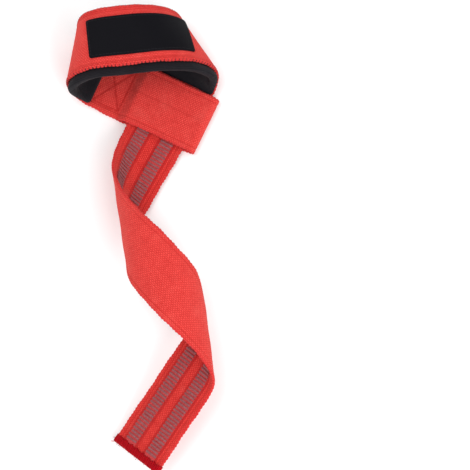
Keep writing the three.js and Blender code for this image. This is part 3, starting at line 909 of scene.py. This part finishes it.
patch_side = LABEL_WIDTH / 2 - LABEL_STITCH_IN
patch_near, patch_far = label_from + LABEL_STITCH_IN, label_to - LABEL_STITCH_IN
patch_corners = [(-patch_side, patch_near), (patch_side, patch_near),
                 (patch_side, patch_far), (-patch_side, patch_far)]
patch_height = half_thickness + PIECE_GAP + LABEL_THICKNESS - LABEL_SETTLED
patch_spots = [spot for start, end in zip(patch_corners, patch_corners[1:] + patch_corners[:1])
               for spot in stitch_line(start, end, patch_height, PATCH_STITCH_PITCH)]
patch_stitch = flat_bar(PATCH_STITCH_WIDTH, PATCH_STITCH_LENGTH, PATCH_STITCH_WIDTH,
                        PATCH_STITCH_ROUNDING)
black_thread = sewing_thread("black_sewing_thread", 0.65, THREAD_BLACK_DEEP, THREAD_BLACK)
patch_sewing = sewn_on("patch_stitches", patch_spots, [patch_stitch] * len(patch_spots), seed=9)
patch_sewing.data.materials.append(black_thread)
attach(patch_sewing, "root")


# The frayed ends: loose lengths of the hem's dark red thread that stick out at the end of the
# tail, longer ones at its two corners and short ones between.
FRAY_COUNT = 26
CORNER_FRAYS = 12
FRAY_RADIUS = 0.11
CORNER_FRAY_LENGTHS = (1.2, 3.2)
SHORT_FRAY_LENGTHS = (0.6, 1.5)
SHORT_FRAY_SIDES = (-18, 18)
SHORT_FRAY_FROM_END = 0.3
END_THINNING = 0.55


def thread_length(path, radius, corners=6):
    """A length of thread along a path of (across, along, height) places, round and closed."""
    path = np.asarray(path, float)
    heading = np.gradient(path, axis=0)
    heading /= np.linalg.norm(heading, axis=1)[:, None]
    level = np.cross(heading, np.array([0.31, 0.9, 0.2]))
    level /= np.linalg.norm(level, axis=1)[:, None]
    rise = np.cross(heading, level)
    at_tip = np.arange(len(path)) % (len(path) - 1) == 0
    thin = (radius * np.where(at_tip, END_THINNING, 1.0))[:, None, None]
    angles = (np.arange(corners) * 2 * math.pi / corners)[None, :, None]
    rings = path[:, None] + thin * (level[:, None] * np.cos(angles)
                                    + rise[:, None] * np.sin(angles))
    faces = [(ring * corners + corner, ring * corners + (corner + 1) % corners,
              (ring + 1) * corners + (corner + 1) % corners, (ring + 1) * corners + corner)
             for ring in range(len(path) - 1) for corner in range(corners)]
    faces.append(tuple(reversed(range(corners))))
    faces.append(tuple((len(path) - 1) * corners + corner for corner in range(corners)))
    return rings.reshape(-1, 3), faces


frayed = np.random.default_rng(31)
fray_spots, fray_threads = [], []
for index in range(FRAY_COUNT):
    at_corner = index < CORNER_FRAYS
    hand = -1 if index % 2 else 1
    length = frayed.uniform(*(CORNER_FRAY_LENGTHS if at_corner else SHORT_FRAY_LENGTHS))
    bend = frayed.normal(0, 0.5, 2)
    steps = np.linspace(0, 1, 6)
    path = np.stack([length * (bend[0] * steps ** 2), length * steps,
                     0.35 * length * bend[1] * steps ** 2], axis=1)
    fray_threads.append(thread_length(path, FRAY_RADIUS))
    if at_corner:
        where = hand * (half_width - frayed.uniform(-0.4, 1.2))
        lean = -hand * frayed.uniform(0.2, 1.3)
        from_end = frayed.uniform(0.2, 3.0)
    else:
        where = frayed.uniform(*SHORT_FRAY_SIDES)
        lean = frayed.normal(0, 0.6)
        from_end = SHORT_FRAY_FROM_END
    fray_spots.append((where, hem_to - from_end, frayed.uniform(-0.3, 0.5), lean))
frays = sewn_on("frayed_ends", fray_spots, fray_threads, seed=32)
frays.data.materials.append(thread.material)
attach(frays, "root")


# The edge stitches: black thread that is laid over both edges of the webbing in the dips between
# its scallops, and goes down into the pad. Each is one short bent length of thread.
EDGE_THREAD_RADIUS = 0.19
EDGE_STITCH_CLEARANCE = 7.0
EDGE_STITCH_PATH = [(-1.15, 0.1, 0.78), (-0.9, 0.05, 0.98), (-0.55, 0.0, 0.82),
                    (-0.3, 0.0, 0.35), (-0.2, -0.1, -0.5), (-0.4, -0.2, -1.3)]
edge_spots, edge_threads = [], []
for hand in (-1, 1):
    shape = thread_length([(hand * x, y, z) for x, y, z in EDGE_STITCH_PATH], EDGE_THREAD_RADIUS)
    lag = SELVEDGE_LAG * hand / math.pi
    edge_run = np.arange(pad_from + EDGE_STITCH_CLEARANCE, pad_to - EDGE_STITCH_CLEARANCE)
    dips = (np.unique(np.round(edge_run / SELVEDGE_PITCH + lag)) - lag) * SELVEDGE_PITCH
    edge_spots += [(hand * half_width, dip, 0.0, 0.0) for dip in dips]
    edge_threads += [shape] * len(dips)
edge_sewing = sewn_on("edge_stitches", edge_spots, edge_threads, seed=11)
edge_sewing.data.materials.append(black_thread)
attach(edge_sewing, "root")


# The studio: a pale matt table, a wide soft light overhead and another in front, and a camera high
# above the strap that looks down at it a little from the front, with the strap left of its middle.
CAMERA_ELEVATION = math.radians(79.0)
CAMERA_DISTANCE = 1.5
SENSOR_WIDTH = 36.0
PIXELS_PER_METRE = 1622.4
STRAP_AT_PIXEL = (143.5, 245.1)
FRAME_PIXELS = 470
TABLE_SIZE = 6.0
TABLE_DROP = 0.0002
ROOM_BRIGHTNESS = 0.93
LIGHTS = [
    ("key_light", (-0.5, 0.1, 1.6), 0.9, 8.0),
    ("front_light", (0.7, -1.0, 0.9), 1.0, 12.0),
]

deselect_all()
bpy.ops.mesh.primitive_plane_add(size=TABLE_SIZE, location=(0, 0, -TABLE_DROP))
floor = bpy.context.object
floor.name = "studio_floor"
table = Recipe("pale_table", 0.9, specular=0.1)
tone = table.noise(table.place(), 3.0, 2.0)
table.paint(table.mix(tone, (0.9, 0.9, 0.9), (0.93, 0.93, 0.93)))
floor.data.materials.append(table.material)

world = bpy.data.worlds.new("soft_room")
bpy.context.scene.world = world
world.use_nodes = True
background = world.node_tree.nodes["Background"]
background.inputs["Color"].default_value = (1.0, 1.0, 1.0, 1.0)
background.inputs["Strength"].default_value = ROOM_BRIGHTNESS
for name, place, size, power in LIGHTS:
    light = bpy.data.lights.new(name, "AREA")
    light.shape = "DISK"
    light.size = size
    light.energy = power
    lamp = bpy.data.objects.new(name, light)
    lamp.location = place
    lamp.rotation_mode = "QUATERNION"
    lamp.rotation_quaternion = (-Vector(place)).to_track_quat("-Z", "Y")
    bpy.context.scene.collection.objects.link(lamp)

camera_data = bpy.data.cameras.new("camera")
camera = bpy.data.objects.new("camera", camera_data)
bpy.context.scene.collection.objects.link(camera)
forward = Vector((0, math.cos(CAMERA_ELEVATION), -math.sin(CAMERA_ELEVATION)))
upward = Vector((0, math.sin(CAMERA_ELEVATION), math.cos(CAMERA_ELEVATION)))
aside = Vector((1, 0, 0))
camera.location = -forward * CAMERA_DISTANCE
camera_data.sensor_width = SENSOR_WIDTH
camera_data.lens = PIXELS_PER_METRE * CAMERA_DISTANCE * SENSOR_WIDTH / FRAME_PIXELS
aim = (aside * (FRAME_PIXELS / 2 - STRAP_AT_PIXEL[0])
       + upward * (STRAP_AT_PIXEL[1] - FRAME_PIXELS / 2)) / PIXELS_PER_METRE
look = (aim - camera.location).normalized()
right = look.cross(upward).normalized()
above = right.cross(look)
turn_matrix = np.array([right, above, -look]).T
camera.rotation_mode = "QUATERNION"
camera.rotation_quaternion = Matrix(turn_matrix.tolist()).to_quaternion()
camera_data.clip_start = 0.05
camera_data.clip_end = 30.0
bpy.context.scene.camera = camera
bpy.context.scene.view_settings.view_transform = "Standard"
